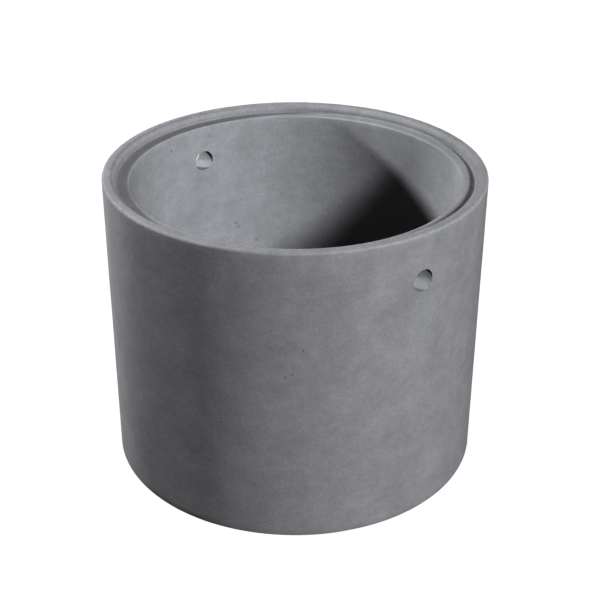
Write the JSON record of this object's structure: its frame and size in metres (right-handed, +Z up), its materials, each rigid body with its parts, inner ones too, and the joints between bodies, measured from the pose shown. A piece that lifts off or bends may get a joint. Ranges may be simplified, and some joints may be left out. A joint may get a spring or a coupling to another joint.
{
  "type": "concrete culvert ring",
  "caption": "Open cast concrete shaft and culvert ring with a rebated top joint and a pair of lifting holes through its wall.",
  "frame": {"origin": "centre of the flat bottom face", "axes": "+Z up along the ring's axis towards the rebated joint; +X and -X through the two lifting holes"},
  "size_m": [1.16, 1.16, 0.94],
  "materials": {
    "cast_concrete": "grey steel-moulded concrete, matt, with a fine cement skin"
  },
  "bodies": {
    "root": {"concrete_ring": "cast_concrete"}
  },
  "joints": []
}
